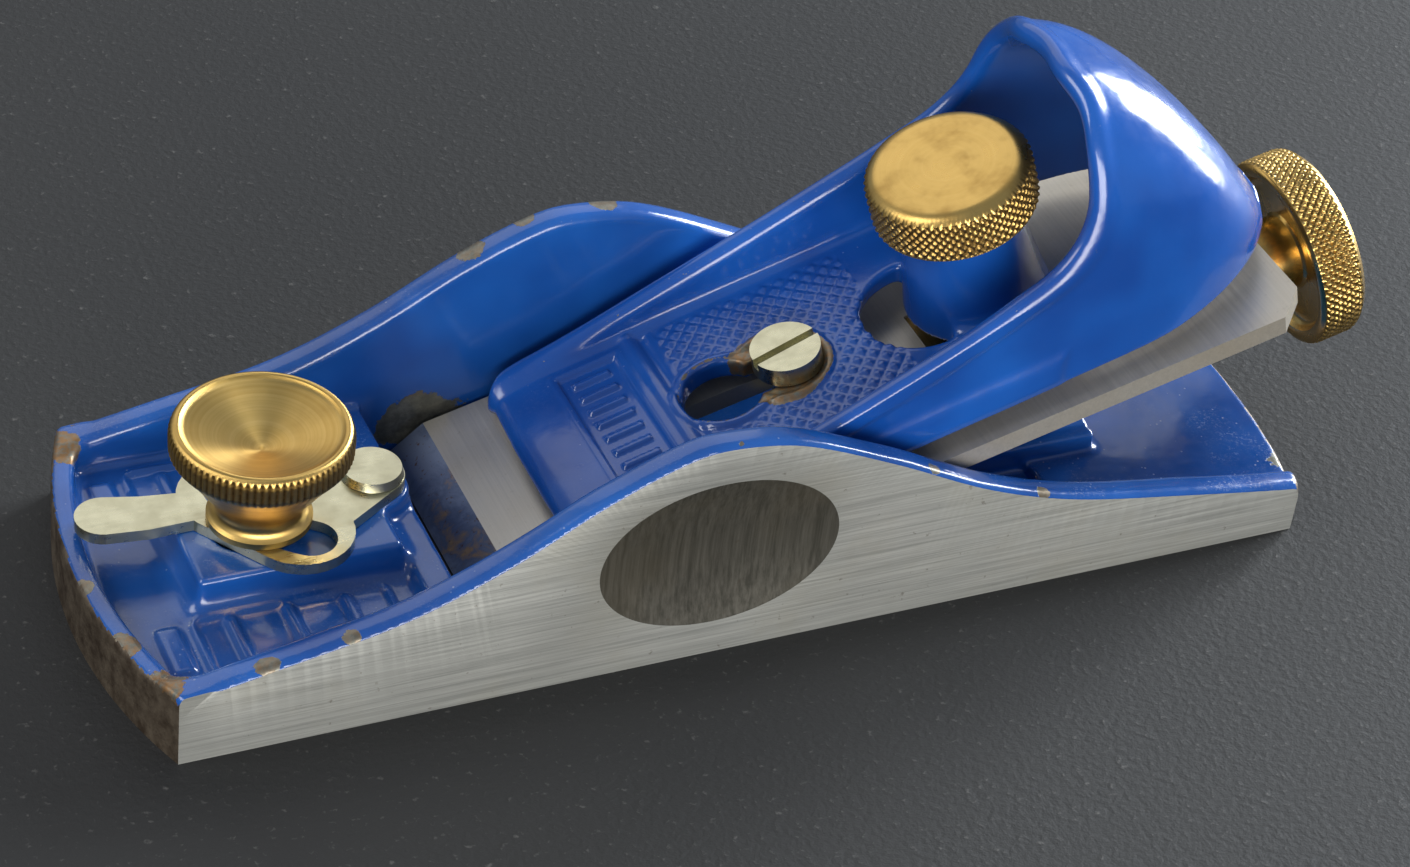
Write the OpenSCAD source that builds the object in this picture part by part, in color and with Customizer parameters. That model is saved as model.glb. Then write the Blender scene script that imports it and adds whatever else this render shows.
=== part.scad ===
// Adjustable-mouth block plane: a cast body with ground cheeks, a bevel-up
// cutter on a low bed, a hooded lever cap and two screw adjustments.
// Millimetres. +X points from the toe to the heel, +Y across, +Z up.
// The sole lies on Z = 0 and the origin is at the middle of the sole.

/* [Body] */
// Length of the sole from the toe's crown to the heel's crown
plane_len = 156; // [154:0.5:158]
// Width of the body over the two ground cheeks
body_w = 50.6; // [50:0.1:51.2]
// Thickness of each cheek
cheek_t = 3.8; // [3.5:0.1:4]
// How far the toe's crown stands ahead of its corners
toe_bulge = 5.2; // [4.5:0.1:6]
// How far the heel's crown stands behind its corners
heel_bulge = 3.8; // [3:0.1:4.5]
// Height of the rim round the toe
toe_rim_h = 9.2; // [8.8:0.1:9.4]
// Thickness of the sole
sole_t = 4.2; // [4:0.1:4.6]
// Depth of the oval finger hollow in each cheek
dimple_depth = 1.6; // [1.2:0.1:1.8]

/* [Cutter] */
// Angle of the bed and the cutter above the sole
bed_angle = 15.6; // [15.4:0.1:15.8]
// Width of the cutter
cutter_w = 41; // [40:0.1:41.4]
// Thickness of the cutter
cutter_t = 2.6; // [2.4:0.1:2.7]
// Angle ground on the top of the cutting edge, from the flat underside
bevel_angle = 25; // [24:1:28]

/* [Lever cap] */
// Width of the lever cap
cap_w = 38; // [37:0.1:38.6]
// Thickness of the lever cap's wall
cap_wall = 2.6; // [2.4:0.1:3]
// Height of the crown of the hood above the sole
hood_top = 62.4; // [61:0.1:63]

/* [Knobs and wheels] */
// Radius of the front knob
knob_r = 10.8; // [10:0.1:11.2]
// Height of the front knob's rim above the sole
knob_top = 25.8; // [25:0.1:26.4]
// Radius of the thumb wheel on the lever cap
thumb_r = 10.4; // [10:0.1:10.6]
// Lean of the thumb wheel's axis towards the toe
thumb_tilt = 20.4; // [20:0.1:21]
// Radius of the depth wheel behind the cutter
wheel_r = 12.7; // [12:0.1:12.8]
// Width of the depth wheel
wheel_w = 6.5; // [6:0.1:6.8]
// Radial running clearance of shafts in their bores
run_gap = 0.05; // [0.03:0.01:0.08]

/* [Mouth lever] */
// Movement of the toe plate for each radian that the lever swings
cam_rate = 4; // [3:0.1:4.2]
// Thickness of the lever
lever_t = 1.5; // [1.3:0.1:1.55]

/* [Hidden] */
$fn = 64;

blue = [0.10, 0.34, 0.66];
steel = [0.58, 0.58, 0.56];
nickel = [0.76, 0.75, 0.66];
brass = [0.78, 0.62, 0.32];

// ---- the bed ----------------------------------------------------------
ta = tan(bed_angle);
top0 = 11.92;                              // cutter's top surface at x = 0
function cut_top(x) = top0 + ta * x;
function cut_under(x) = cut_top(x) - cutter_t / cos(bed_angle);
edge_z = 0.35;                             // cutting edge, just inside the mouth
edge_x = (edge_z - top0 + cutter_t / cos(bed_angle)) / ta;
cut_len = (73.5 - edge_x) / cos(bed_angle);

// ---- the depth adjuster's axis, parallel to the bed -------------------
wheel_x = 81.35;                           // front face of the depth wheel
wheel_z = 24.2;
function axis_z(x) = wheel_z + (x - wheel_x) * ta;
spindle_r = 3;
post_x0 = 46.5;
post_x1 = 52.5;
nib_x = 35.4;

// ---- the toe ----------------------------------------------------------
knob_x = -55.4;
pivot = [-40, 4.2];
deck_z = 6;                                // floor of the toe well
boss_z = 10.3;                             // top of the clamping boss
lever_z = boss_z + 0.05;
foot_z = lever_z + lever_t + 0.05;         // underside of the front knob
stud_r = 3;
plate_w = 36;
plate_x0 = -66.4;
plate_x1 = -34.4;                          // rear edge of the toe plate at rest
mouth_x = -33;
cap_screw_x = 14.18;                       // where the screw leaves the bed
head_x = 11.3;                             // middle of its head
key_x = 3.5;                               // middle of the keyhole
head_up = (cap_screw_x - head_x) / sin(bed_angle);
head_top = 23.5;                           // lever cap screw's head, on its axis
head_h = 2.6;

toe_R = (pow(body_w / 2, 2) + pow(toe_bulge, 2)) / (2 * toe_bulge);
heel_R = (pow(body_w / 2, 2) + pow(heel_bulge, 2)) / (2 * heel_bulge);
half = plane_len / 2;

// Smooth curve through [x, z] control points (cubic, slopes from the neighbours)
function seg(P, x, i = 0) = (i >= len(P) - 2 || x < P[i + 1][0]) ? i : seg(P, x, i + 1);
function slope(P, i) =
    i == 0 ? (P[1][1] - P[0][1]) / (P[1][0] - P[0][0]) :
    i == len(P) - 1 ? (P[i][1] - P[i - 1][1]) / (P[i][0] - P[i - 1][0]) :
    (P[i + 1][1] - P[i - 1][1]) / (P[i + 1][0] - P[i - 1][0]);
function curve(P, x) =
    let (i = seg(P, x), h = P[i + 1][0] - P[i][0], t = (x - P[i][0]) / h,
         a = P[i][1], b = P[i + 1][1], m = slope(P, i) * h, n = slope(P, i + 1) * h)
    a * (2 * t * t * t - 3 * t * t + 1) + m * (t * t * t - 2 * t * t + t)
    + b * (3 * t * t - 2 * t * t * t) + n * (t * t * t - t * t);

// Upper edge of the cheeks, toe to heel
cheek_pts = [[-78, 8.6], [-62, 11.8], [-46, 15.3], [-34, 20.3], [-22, 27],
             [-12, 31.1], [-6, 31.5], [2, 30], [14, 24.7], [28, 17.6],
             [40, 13.4], [56, 10.3], [78, 6.6]];
function cheek_z(x) = curve(cheek_pts, x);

// ---- shared shapes ----------------------------------------------------
// Plan of the casting, drawn in by d all round
module plan(d = 0) {
    intersection() {
        square([plane_len, body_w - 2 * d], center = true);
        union() {
            translate([toe_R - half, 0]) circle(r = toe_R - d, $fn = 180);
            translate([-20, -body_w]) square([plane_len, 2 * body_w]);
        }
        union() {
            translate([half - heel_R, 0]) circle(r = heel_R - d, $fn = 180);
            translate([20 - plane_len, -body_w]) square([plane_len, 2 * body_w]);
        }
    }
}
// Place children on the adjuster's axis: +Z of the child runs up the bed
module on_axis(x) {
    translate([x, 0, axis_z(x)]) rotate([0, 90 - bed_angle, 0]) children();
}
// Place children on the bed: +Z of the child stands square to the cutter
module on_bed(x, z) {
    translate([x, 0, z]) rotate([0, -bed_angle, 0]) children();
}
// Place children on the thumb screw's axis, with the wheel's top face at Z = 0
module on_thumb() {
    translate([29.6, 0, 47.3]) rotate([0, -thumb_tilt, 0]) children();
}

// ---- body -------------------------------------------------------------
module cheek_blank() {
    step = 3;
    rotate([90, 0, 0])
        translate([0, 0, -body_w / 2])
            linear_extrude(body_w)
                polygon(concat([[half, 0], [-half, 0]],
                    [for (x = [-half : step : half]) [x, cheek_z(x)]]));
}
module bed_block(x0, x1, w) {
    // solid whose top lies just under the cutter
    rotate([90, 0, 0]) translate([0, 0, -w / 2]) linear_extrude(w)
        polygon([[x0, 0], [x1, 0], [x1, cut_under(x1) - 0.05], [x0, cut_under(x0) - 0.05]]);
}
module dimple(side) {
    // shallow barrel-shaped scoop; its mouth is an oval 30.6 by 21
    ra = (15.3 * 15.3 + dimple_depth * dimple_depth) / (2 * dimple_depth);
    rc = (10.5 * 10.5 + dimple_depth * dimple_depth) / (2 * dimple_depth);
    translate([-7.5, side * (body_w / 2 - dimple_depth + ra), 15.4])
        rotate_extrude($fn = 180) translate([ra - rc, 0]) circle(r = rc, $fn = 96);
}
module stud_slot(r) {
    for (x = [knob_x - 2.2, knob_x + 1.2])
        translate([x, 0, 0]) cylinder(r = r, h = 20);
    translate([knob_x - 2.2, -r, 0]) cube([3.4, 2 * r, 20]);
}
module body() {
    color(blue) difference() {
        union() {
            // sole and cheeks
            linear_extrude(sole_t) plan();
            difference() {
                intersection() {
                    linear_extrude(40) plan();
                    cheek_blank();
                }
                translate([-half - 1, -body_w / 2 + cheek_t, sole_t - 1])
                    cube([plane_len + 2, body_w - 2 * cheek_t, 60]);
            }
            // rim round the toe
            difference() {
                linear_extrude(toe_rim_h) plan();
                translate([0, 0, -1]) linear_extrude(20) plan(2.8);
                translate([-64, -40, -1]) cube([200, 80, 60]);
            }
            // floor of the toe well, its cross wall and the clamping boss
            intersection() {
                linear_extrude(20) plan(1);
                union() {
                    translate([-half, -body_w / 2, 1]) cube([half - 36, body_w, deck_z - 1]);
                    translate([-39.5, -body_w / 2, 1]) cube([4.3, body_w, 7.2]);
                    translate([-65, -7.5, 1]) cube([25, 15, boss_z - 1]);
                    translate([pivot[0], pivot[1], 1]) cylinder(r = 4.6, h = boss_z - 1);
                }
            }
            // bed behind the mouth and the side ledges of the bed
            translate([-29.5, -body_w / 2 + 2, 1]) cube([17.5, body_w - 4, 6.4]);
            for (s = [-1, 1])
                translate([0, s * (body_w / 2 - cheek_t - 1.5), 0]) bed_block(-9, 12, 5);
            // floor of the heel
            translate([44, -body_w / 2 + 2, 2]) cube([29, body_w - 4, 3.2]);
            // post of the lever cap screw
            intersection() {
                on_bed(cap_screw_x, cut_under(cap_screw_x) - 0.05)
                    translate([0, 0, -20]) cylinder(r = 5.5, h = 20);
                translate([-20, -20, 1]) cube([60, 40, 40]);
            }
            // plateau round the rear post, open ahead for the slide
            translate([43.4, -9.2, 1]) cube([9.7, 18.4, 7]);
            for (y = [-9.2, 6.2]) translate([33.5, y, 1]) cube([11, 3, 7]);
            // rear post that carries the depth spindle
            intersection() {
                translate([post_x0, -7, 1]) cube([post_x1 - post_x0, 14, 40]);
                bed_block(40, 76, 30);
            }
        }
        // recess for the toe plate, and the throat
        translate([plate_x0 - 2.4, -plate_w / 2 - 0.15, -1]) cube([40, plate_w + 0.3, 5.1]);
        translate([mouth_x - 1, -(cutter_w + 1.2) / 2, -1]) cube([1.5, cutter_w + 1.2, 3]);
        rotate([90, 0, 0]) translate([0, 0, -(cutter_w + 1.2) / 2])
            linear_extrude(cutter_w + 1.2)
                polygon([[mouth_x - 0.8, -1], [mouth_x - 2.4, 8], [mouth_x - 2.4, 30], [-10, 30],
                         [-10, cut_under(-10) - 0.05], [-29.4, cut_under(-29.4) - 0.05], [-29.4, -1]]);
        stud_slot(stud_r + 0.3);
        // pocket in the toe for the pivot pin
        translate([pivot[0], pivot[1], boss_z - 5]) cylinder(r = 1.52, h = 20);
        // bores
        on_bed(cap_screw_x, cut_under(cap_screw_x)) translate([0, 0, -9]) cylinder(r = 2.52, h = 30);
        on_axis(40) cylinder(r = spindle_r + run_gap, h = 40);
        for (s = [-1, 1]) dimple(s);
        // clear of the adjuster's slide
        on_axis(30) cylinder(r = 6.4, h = 15.3);
    }
}

// ---- toe plate and front knob -----------------------------------------
module mouth_plate() {
    color(steel) difference() {
        union() {
            translate([plate_x0, -plate_w / 2, 0]) cube([plate_x1 - plate_x0, plate_w, 3.9]);
        }
        translate([knob_x, 0, 1.2]) cylinder(r = stud_r + 0.02, h = 10);
        rotate([90, 0, 0]) translate([0, 0, -40]) linear_extrude(80)
            polygon([[plate_x1 + 0.1, 1.2], [plate_x1 - 1.2, 5], [plate_x1 + 0.1, 5]]);
    }
}
module knob_stud() {
    color(steel) translate([knob_x, 0, 1.25]) cylinder(r = stud_r, h = 19.5);
}
module front_knob() {
    color(brass) translate([knob_x, 0, 0]) rotate_extrude($fn = 96)
        polygon([[stud_r + run_gap, foot_z], [6.1, foot_z], [6.3, foot_z + 0.5], [6.1, foot_z + 1.1],
                 [5.5, foot_z + 1.8], [5.6, foot_z + 3.2], [6.6, foot_z + 5.4],
                 [8.6, knob_top - 4.9], [10.2, knob_top - 4.2], [knob_r, knob_top - 3.7],
                 [knob_r, knob_top - 0.9], [knob_r - 0.3, knob_top - 0.25], [knob_r - 0.9, knob_top],
                 [knob_r - 1.5, knob_top - 0.3], [0, knob_top - 3.3],
                 [0, 21], [stud_r + run_gap, 21]]);
}

// ---- mouth lever ------------------------------------------------------
// The stud's place, seen from the lever, when the lever has swung by a degrees
function cam_pt(a) =
    let (s = [knob_x - cam_rate * a * PI / 180, 0] - pivot)
    pivot + [s[0] * cos(a) + s[1] * sin(a), s[1] * cos(a) - s[0] * sin(a)];
module cam_slot() {
    w = stud_r + 0.2;
    // ribbon along the cam curve with a round at each end
    L = [for (a = [-24 : 3 : 21]) let (p = cam_pt(a), q = cam_pt(a + 0.5) - cam_pt(a - 0.5),
            n = [-q[1], q[0]] / norm(q)) [p + w * n, p - w * n]];
    translate([0, 0, 5]) linear_extrude(12)
        polygon(concat([for (i = [0 : len(L) - 1]) L[i][0]],
                       [for (i = [len(L) - 1 : -1 : 0]) L[i][1]]));
    for (a = [-24, 21]) translate([cam_pt(a)[0], cam_pt(a)[1], 5]) cylinder(r = w, h = 12);
}
module lever_outline() {
    hull() {
        translate([-72.6, 5.4]) circle(r = 3.4, $fn = 32);
        translate([-68.2, 4.6]) circle(r = 3.1, $fn = 32);
    }
    hull() {
        translate([-68.2, 4.6]) circle(r = 3.1, $fn = 32);
        translate([-61, 4.2]) circle(r = 2.5, $fn = 32);
    }
    hull() {
        translate([-61, 4.2]) circle(r = 2.5, $fn = 32);
        translate([-56.8, 5]) circle(r = 6.9, $fn = 32);
    }
    hull() {
        translate([-56.8, 5]) circle(r = 6.9, $fn = 32);
        translate([-51.4, -3.4]) circle(r = 6.4, $fn = 32);
    }
    hull() {
        translate([-51, -2]) circle(r = 4.6, $fn = 32);
        translate(pivot) circle(r = 4, $fn = 32);
    }
}
module mouth_lever() {
    color(nickel) difference() {
        translate([0, 0, lever_z]) linear_extrude(lever_t) lever_outline();
        cam_slot();
        translate([pivot[0], pivot[1], 5]) cylinder(r = 1.55, h = 20);
    }
}
module lever_pivot_pin() {
    color(nickel) translate([pivot[0], pivot[1], 0]) {
        translate([0, 0, boss_z - 4.9]) cylinder(r = 1.5, h = 7);
        translate([0, 0, lever_z + lever_t + 0.05]) cylinder(r1 = 3.9, r2 = 3.6, h = 1.1);
    }
}

// ---- cutter -----------------------------------------------------------
module cutter() {
    bl = cutter_t / tan(bevel_angle);
    color(steel) difference() {
        translate([edge_x, 0, edge_z]) rotate([0, -bed_angle, 0])
            rotate([90, 0, 0]) translate([0, 0, -cutter_w / 2]) linear_extrude(cutter_w)
                polygon([[0, 0], [cut_len, 0], [cut_len, cutter_t], [bl, cutter_t]]);
        // slot for the lever cap screw
        for (x = [-1, 20])
            on_bed(x, cut_under(x)) translate([0, 0, -1]) cylinder(r = 5, h = 6);
        on_bed(-1, cut_under(-1)) translate([0, -5, -1]) cube([21 / cos(bed_angle), 10, 6]);
        // hole for the slide's nib
        on_bed(nib_x, axis_z(nib_x)) translate([-2.25, -5.2, 3]) cube([4.5, 10.4, 12]);
        // the two rear corners are cut off
        for (s = [-1, 1])
            on_bed(73.5, cut_under(73.5)) translate([0, s * cutter_w / 2, -1])
                rotate([0, 0, 45]) cube([5.6, 5.6, 12], center = true);
    }
}

// ---- depth adjuster ---------------------------------------------------
module adjuster_slide() {
    color(brass) difference() {
        union() {
            on_axis(nib_x - 3) cylinder(r = 5.2, h = 6.2);
            on_bed(nib_x, axis_z(nib_x)) translate([-2.1, -5, 0])
                cube([4.2, 10, 6.8 + cutter_t + 0.4]);
        }
        on_axis(nib_x - 6) cylinder(r = spindle_r + run_gap, h = 16);
    }
}
module adjuster_spindle() {
    color(steel) difference() {
        on_axis(26) cylinder(r = spindle_r, h = (wheel_x - 26) / cos(bed_angle) + wheel_w - 1);
        on_axis(wheel_x) translate([0, 0, 3]) rotate([90, 0, 0]) cylinder(r = 0.77, h = 20, center = true);
        on_axis(post_x0) translate([0, 0, -2.9]) rotate([90, 0, 0]) cylinder(r = 0.77, h = 20, center = true);
    }
}
module adjuster_wheel() {
    w = wheel_w;
    color(brass) difference() {
        on_axis(wheel_x) rotate_extrude($fn = 96)
            polygon([[spindle_r + 0.02, -5.5], [5, -5.5], [5, 1.6], [10.2, 1.6], [10.8, 0], [wheel_r - 0.5, 0],
                     [wheel_r, 0.6], [wheel_r, w - 1.2], [wheel_r - 1.2, w], [6, w],
                     [5.4, w - 0.6], [spindle_r + 0.02, w - 0.6]]);
        on_axis(wheel_x) translate([0, 0, 3]) rotate([90, 0, 0]) cylinder(r = 0.77, h = 13, center = true);
    }
}
module adjuster_collar() {
    color(steel) difference() {
        on_axis(post_x0) translate([0, 0, -4.1]) cylinder(r = 5, h = 2.4);
        on_axis(post_x0 - 8) cylinder(r = spindle_r + 0.02, h = 20);
        on_axis(post_x0) translate([0, 0, -2.9]) rotate([90, 0, 0]) cylinder(r = 0.77, h = 20, center = true);
    }
}
module wheel_pin() {
    color(steel) on_axis(wheel_x) translate([0, 0, 3]) rotate([90, 0, 0])
        cylinder(r = 0.75, h = 12.6, center = true);
}
module collar_pin() {
    color(steel) on_axis(post_x0) translate([0, 0, -2.9]) rotate([90, 0, 0])
        cylinder(r = 0.75, h = 10.6, center = true);
}

// ---- lever cap --------------------------------------------------------
cap_x0 = -20.5;                            // nose
cap_x1 = 74.5;                             // rear of the hood
arch_x = 40;                               // crown of the arch
function cap_under(x) = cut_top(x) + 0.4 + (x - cap_x0) * 0.034;
function floor_z(x) = 20.9 + (x - head_x) * 0.32;
hood_half = cap_w / 2 + 0.4;
function hood_s(x) = max(0, min(1, (x - arch_x) / (cap_x1 - arch_x)));
function hood_h(x) = (hood_top - cap_under(arch_x)) * (1 - pow(hood_s(x), 1.5));
function hood_w(x) = hood_half * sqrt(1 - pow(hood_s(x), 2.4));
// One arch, from the foot on one side over the crown to the other foot. The
// front edge of the hood leans, so each point's x moves with its height.
function hood_pt(x, a, w, h, z0) =
    [x, w * sign(cos(a)) * pow(abs(cos(a)), 0.72), z0 + h * pow(max(0, sin(a)), 0.76)];
function lean(x, z) = x > arch_x + 0.1 ? x : arch_x + 1 - 0.009 * pow(z - 54, 2);
function hood_ring(x, n) =
    let (w = max(3.4, hood_w(x)), h = max(4, hood_h(x)), z0 = cap_under(x),
         wi = w - cap_wall, hi = max(1, h - cap_wall))
    concat([for (i = [0 : n]) hood_pt(x, 180 * i / n, w, h, z0)],
           [for (i = [n : -1 : 0]) hood_pt(x, 180 * i / n, wi, hi, z0)]);
module ring_loft(R) {
    m = len(R);
    k = len(R[0]);
    pts = [for (r = R) each [for (p = r) [lean(p[0], p[2]), p[1], p[2]]]];
    faces = concat(
        [for (j = [0 : m - 2], i = [0 : k - 1]) let (a = j * k + i, b = j * k + (i + 1) % k)
            each [[a, b + k, b], [a, a + k, b + k]]],
        [for (i = [0 : k / 2 - 2]) each [[i, i + 1, k - 2 - i], [i, k - 2 - i, k - 1 - i]]],
        [for (i = [0 : k / 2 - 2]) let (e = (m - 1) * k)
            each [[e + i, e + k - 2 - i, e + i + 1], [e + i, e + k - 1 - i, e + k - 2 - i]]]);
    polyhedron(points = pts, faces = faces, convexity = 6);
}
module hood() {
    xs = [for (i = [0 : 12]) arch_x + (71 - arch_x) * sin(90 * i / 12)];
    ring_loft([for (x = xs) hood_ring(x, 18)]);
    // closed tail of the hood
    difference() {
        translate([69.6, 0, cap_under(71) + 0.02]) rotate([0, -bed_angle, 0])
            cylinder(r1 = 4.6, r2 = 3.4, h = 5.2);
        translate([60, -10, 20]) cube([9, 20, 40]);
    }
}
// Line of the rims in side view, rising along the cap to the foot of the arch
rim_pts = [[-24, 8.6], [-18, 11.4], [-8, 16.6], [4, 23], [16, 29.4], [26, 35], [34, 40]];
module side_plate(s, prof) {
    translate([0, s > 0 ? cap_w / 2 : -cap_w / 2 + cap_wall, 0])
        rotate([90, 0, 0]) linear_extrude(cap_wall) polygon(prof);
}
module lever_cap() {
    wall_prof = concat([[44, cap_under(44) + 0.6], [-17.4, cap_under(-17.4)], [-17.4, curve(rim_pts, -17.4)]],
        [for (x = [-16 : 4 : 34]) [x, curve(rim_pts, x)]],
        [[37.8, 42.6], [39.6, 44.6], [44, 44.6]]);
    floor_prof = [[-18.2, cap_under(-18)], [-13, cap_under(-13)], [-10.5, floor_z(-10.5) - 3],
        [38, floor_z(38) - 3], [38, floor_z(38)], [-15, floor_z(-15)], [-18.5, 10.9],
        [-20, 9.6], [-20.5, 8.2], [-19.9, cap_under(-19.9) + 0.6]];
    color(blue) difference() {
        union() {
            difference() {
                union() {
                    for (s = [-1, 1]) side_plate(s, wall_prof);
                    intersection() {
                        rotate([90, 0, 0]) translate([0, 0, -cap_w / 2]) linear_extrude(cap_w)
                            polygon(floor_prof);
                        translate([-cap_w / 2 - 1.2, 0, 0]) union() {
                            translate([cap_w - 0.3, 0, 0]) cylinder(r = cap_w, h = 60, $fn = 120);
                            translate([cap_w, -30, 0]) cube([60, 60, 60]);
                        }
                    }
                }
                // opening ahead of the boss
                translate([30, 0, 0]) cylinder(r = 7.6, h = 60);
            }
            hood();
            // boss of the thumb screw
            intersection() {
                on_thumb() translate([0, 0, -22.5]) cylinder(r1 = 9.4, r2 = 7.2, h = 14.4);
                rotate([90, 0, 0]) translate([0, 0, -12]) linear_extrude(24)
                    polygon([[18, floor_z(18) - 2.2], [56, floor_z(56) - 2.2], [56, 60], [18, 60]]);
            }
        }
        // keyhole
        on_bed(key_x, floor_z(key_x)) translate([0, 0, -12]) cylinder(r = 5, h = 24);
        on_bed(head_x, head_top) translate([0, 0, -14]) cylinder(r = 2.9, h = 24);
        on_bed(head_x, head_top) translate([(key_x - head_x) / cos(bed_angle), -2.9, -14])
            cube([(head_x - key_x) / cos(bed_angle), 5.8, 24]);
        // seat under the head
        on_bed(head_x, head_top) translate([0, 0, -head_h - 0.1]) cylinder(r = 5, h = 12);
        on_bed(head_x, head_top) translate([-8.4, -4.9, -head_h - 0.06]) cube([8.4, 9.8, 12]);
        // thumb screw's bore
        on_thumb() translate([0, 0, -40]) cylinder(r = 2.5 + run_gap, h = 40);
    }
}

module lever_cap_screw() {
    // the head stands head_up above the bed, square to it
    color(nickel) on_bed(cap_screw_x, cut_under(cap_screw_x)) difference() {
        union() {
            translate([0, 0, -8.9]) cylinder(r = 2.5, h = 8.9 + head_up - 1);
            translate([0, 0, head_up - head_h]) cylinder(r = 4.4, h = head_h);
        }
        translate([0, 0, head_up]) rotate([0, 0, 8]) translate([-6, -0.55, -1.1]) cube([12, 1.1, 4]);
    }
}
module thumb_wheel() {
    color(brass) on_thumb() rotate_extrude($fn = 96)
        polygon([[0, 0], [thumb_r - 1.5, -0.1], [thumb_r - 0.5, -0.6], [thumb_r, -1.3], [thumb_r, -6.2],
                 [thumb_r - 0.8, -7.1], [6.4, -7.6], [2.52, -7.6], [2.52, -3], [0, -3]]);
}
module thumb_screw() {
    color(steel) on_thumb() translate([0, 0, -25.85]) cylinder(r = 2.5, h = 22.75);
}

body();
mouth_plate();
knob_stud();
front_knob();
mouth_lever();
lever_pivot_pin();
lever_cap();
lever_cap_screw();
thumb_wheel();
thumb_screw();
cutter();
adjuster_slide();
adjuster_spindle();
adjuster_wheel();
adjuster_collar();
wheel_pin();
collar_pin();
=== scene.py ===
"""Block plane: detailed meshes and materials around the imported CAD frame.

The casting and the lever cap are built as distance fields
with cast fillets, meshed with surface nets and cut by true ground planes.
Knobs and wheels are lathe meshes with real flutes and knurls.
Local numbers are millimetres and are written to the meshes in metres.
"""
import math
import bmesh
import bpy
import numpy as np
from mathutils import Matrix, Vector


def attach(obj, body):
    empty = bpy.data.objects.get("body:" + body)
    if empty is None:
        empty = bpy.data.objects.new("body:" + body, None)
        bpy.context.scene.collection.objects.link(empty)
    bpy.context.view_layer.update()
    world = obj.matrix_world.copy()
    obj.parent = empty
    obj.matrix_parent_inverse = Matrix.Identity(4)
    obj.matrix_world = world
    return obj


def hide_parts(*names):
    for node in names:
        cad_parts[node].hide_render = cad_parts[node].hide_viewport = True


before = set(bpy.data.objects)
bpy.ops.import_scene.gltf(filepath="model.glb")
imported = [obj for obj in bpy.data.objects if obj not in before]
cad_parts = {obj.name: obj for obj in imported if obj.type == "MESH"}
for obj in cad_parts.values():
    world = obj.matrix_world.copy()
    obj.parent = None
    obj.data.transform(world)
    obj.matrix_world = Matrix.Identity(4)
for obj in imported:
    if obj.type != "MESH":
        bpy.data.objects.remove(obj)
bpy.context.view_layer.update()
MM = 0.001

# ------------------------------------------------------------------ dimensions
HALF = 78.0
W2 = 25.3
CHEEK = 3.8
TOE_R = (W2 ** 2 + 5.2 ** 2) / (2 * 5.2)
HEEL_R = (W2 ** 2 + 3.8 ** 2) / (2 * 3.8)
TOE_C = TOE_R - HALF
HEEL_C = HALF - HEEL_R
BED = math.radians(15.6)
TA = math.tan(BED)
TOP0 = 11.92
CUT_T = 2.6
CUT_W = 41.0
EDGE_Z = 0.35
EDGE_X = (EDGE_Z - TOP0 + CUT_T / math.cos(BED)) / TA
WHEEL_X, WHEEL_Z, WHEEL_R, WHEEL_W = 81.35, 24.2, 12.7, 6.5
KNOB_X, KNOB_R, KNOB_TOP = -55.4, 10.8, 25.8
PIVOT = (-40.0, 4.2)
BOSS_Z = 10.3
LEVER_Z, LEVER_T = 10.35, 1.5
FOOT_Z = LEVER_Z + LEVER_T + 0.05
STUD_R = 3.0
PLATE_W, PLATE_X0, MOUTH_X = 36.0, -66.4, -33.0
SCREW_X, HEAD_TOP, HEAD_H = 11.3, 23.5, 2.6
POST_X0, POST_X1 = 46.5, 52.5
CAP_W, CAP_WALL, HOOD_TOP = 38.0, 2.6, 61.8
CAP_X0, CAP_X1, ARCH_X = -20.5, 74.5, 40.0
TILT = math.radians(20.4)
THUMB = (29.6, 0.0, 47.3)
THUMB_R = 10.4

CHEEK_PTS = [(-78, 8.6), (-62, 11.8), (-46, 15.3), (-34, 20.3), (-22, 27), (-12, 31.1), (-6, 31.5),
             (2, 30), (14, 24.7), (28, 17.6), (40, 13.4), (56, 10.3), (78, 6.6)]
RIM_PTS = [(-24, 8.6), (-18, 11.4), (-8, 16.6), (4, 23), (16, 29.4), (26, 35), (34, 40), (44, 46)]


def cut_top(x):
    return TOP0 + TA * x


def cut_under(x):
    return cut_top(x) - CUT_T / math.cos(BED)


def axis_z(x):
    return WHEEL_Z + (x - WHEEL_X) * TA


def curve(P, x):
    """Cubic through control points, with slopes from the neighbours."""
    x = np.asarray(x, dtype=np.float32)
    X = np.array([p[0] for p in P], dtype=np.float32)
    Y = np.array([p[1] for p in P], dtype=np.float32)
    m = np.empty_like(Y)
    m[0] = (Y[1] - Y[0]) / (X[1] - X[0])
    m[-1] = (Y[-1] - Y[-2]) / (X[-1] - X[-2])
    m[1:-1] = (Y[2:] - Y[:-2]) / (X[2:] - X[:-2])
    i = np.clip(np.searchsorted(X, x, side="right") - 1, 0, len(P) - 2)
    h = X[i + 1] - X[i]
    t = (x - X[i]) / h
    return (Y[i] * (2 * t ** 3 - 3 * t ** 2 + 1) + m[i] * h * (t ** 3 - 2 * t ** 2 + t)
            + Y[i + 1] * (3 * t ** 2 - 2 * t ** 3) + m[i + 1] * h * (t ** 3 - t ** 2))


# ------------------------------------------------------------------ distance-field tools
def smin(a, b, k):
    h = np.clip(0.5 + 0.5 * (b - a) / k, 0, 1)
    return b + (a - b) * h - k * h * (1 - h)


def smax(a, b, k):
    return -smin(-a, -b, k)


def box(x, y, z, lo, hi, r=0.0):
    c = [(l + h) / 2 for l, h in zip(lo, hi)]
    s = [(h - l) / 2 - r for l, h in zip(lo, hi)]
    q = [abs(v - cc) - ss for v, cc, ss in zip((x, y, z), c, s)]
    out = np.sqrt(np.maximum(q[0], 0) ** 2 + np.maximum(q[1], 0) ** 2 + np.maximum(q[2], 0) ** 2)
    return out + np.minimum(np.maximum(np.maximum(q[0], q[1]), q[2]), 0) - r


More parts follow.
